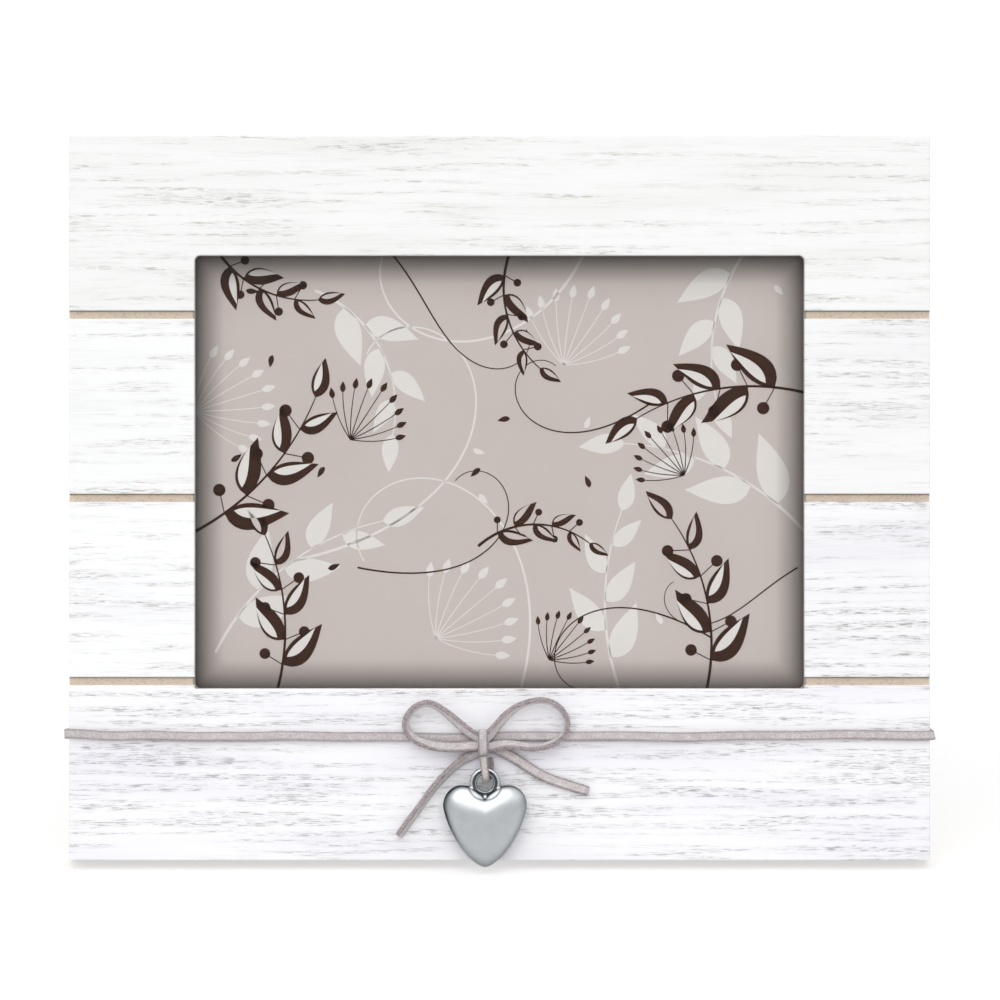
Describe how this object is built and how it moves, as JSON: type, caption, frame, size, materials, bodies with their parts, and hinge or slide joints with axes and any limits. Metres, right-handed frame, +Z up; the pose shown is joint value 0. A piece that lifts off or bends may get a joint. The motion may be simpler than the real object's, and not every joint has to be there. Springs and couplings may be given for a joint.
{
  "type": "picture frame",
  "caption": "Landscape picture frame of whitewashed planks round a rectangular window, tied with a flat cord bow and a cast heart charm, standing on a folding easel leg.",
  "frame": {"origin": "on the table, under the middle of the footprint of the standing frame, charm and open leg", "axes": "+X to the viewer's right along the frame's width, +Y away from the viewer, +Z up; the print faces -Y and leans back"},
  "size_m": [0.244, 0.0825, 0.2016],
  "materials": {
    "whitewashed_wood": "thin white wash over fine grain",
    "fibreboard": "bare fibreboard",
    "glass": "clear",
    "printed_paper": "smooth print",
    "backing_card": "plain",
    "hardboard": "black paper over hardboard",
    "plated_steel": "zinc plated",
    "suede_cord": "flat suede, pale grey",
    "cast_pewter": "satin cast pewter"
  },
  "bodies": {
    "frame": {"core_board": "fibreboard", "plank_top": "whitewashed_wood", "plank_upper_left": "whitewashed_wood", "plank_upper_right": "whitewashed_wood", "plank_lower_left": "whitewashed_wood", "plank_lower_right": "whitewashed_wood", "plank_bottom": "whitewashed_wood", "glass_pane": "glass", "photo_insert": "printed_paper", "backing_card": "backing_card", "back_panel": "hardboard", "button_screws": "plated_steel", "hinge_fixed_leaf": "plated_steel", "hinge_pin": "plated_steel", "hinge_panel_rivets": "plated_steel", "sawtooth_hanger": "plated_steel", "hanger_nails": "plated_steel", "cord_band": "suede_cord", "band_staples": "plated_steel", "bow_knot": "suede_cord", "bow_loop_left": "suede_cord", "bow_loop_right": "suede_cord", "bow_tail_left": "suede_cord", "bow_tail_right": "suede_cord"},
    "leg": {"easel_leg": "hardboard", "hinge_moving_leaf": "plated_steel", "hinge_leg_rivets": "plated_steel"},
    "button_upper_left": {"button_upper_left": "plated_steel"},
    "button_upper_right": {"button_upper_right": "plated_steel"},
    "button_lower_left": {"button_lower_left": "plated_steel"},
    "button_lower_right": {"button_lower_right": "plated_steel"},
    "charm_loop": {"charm_loop": "suede_cord"},
    "heart_charm": {"heart_charm": "cast_pewter"}
  },
  "joints": [
    {"name": "leg_hinge", "type": "hinge", "parent": "frame", "child": "leg", "pos_m": [0, 0.01176, 0.14632], "axis": [1, 0, 0], "range_deg": [-23, 0]},
    {"name": "button_upper_left_turn", "type": "hinge", "parent": "frame", "child": "button_upper_left", "pos_m": [-0.055, 0.01655, 0.17582], "axis": [0, 0.9781, -0.2079], "continuous": true},
    {"name": "button_upper_right_turn", "type": "hinge", "parent": "frame", "child": "button_upper_right", "pos_m": [0.055, 0.01655, 0.17582], "axis": [0, 0.9781, -0.2079], "continuous": true},
    {"name": "button_lower_left_turn", "type": "hinge", "parent": "frame", "child": "button_lower_left", "pos_m": [-0.055, -0.01298, 0.03692], "axis": [0, 0.9781, -0.2079], "continuous": true},
    {"name": "button_lower_right_turn", "type": "hinge", "parent": "frame", "child": "button_lower_right", "pos_m": [0.055, -0.01298, 0.03692], "axis": [0, 0.9781, -0.2079], "continuous": true},
    {"name": "charm_swing", "type": "hinge", "parent": "frame", "child": "charm_loop", "pos_m": [-0.00405, -0.03199, 0.03115], "axis": [0, 0.9781, -0.2079], "range_deg": [-25, 12]},
    {"name": "charm_lift", "type": "hinge", "parent": "charm_loop", "child": "heart_charm", "pos_m": [-0.00405, -0.03371, 0.02837], "axis": [-1, 0, 0], "range_deg": [0, 75]}
  ]
}
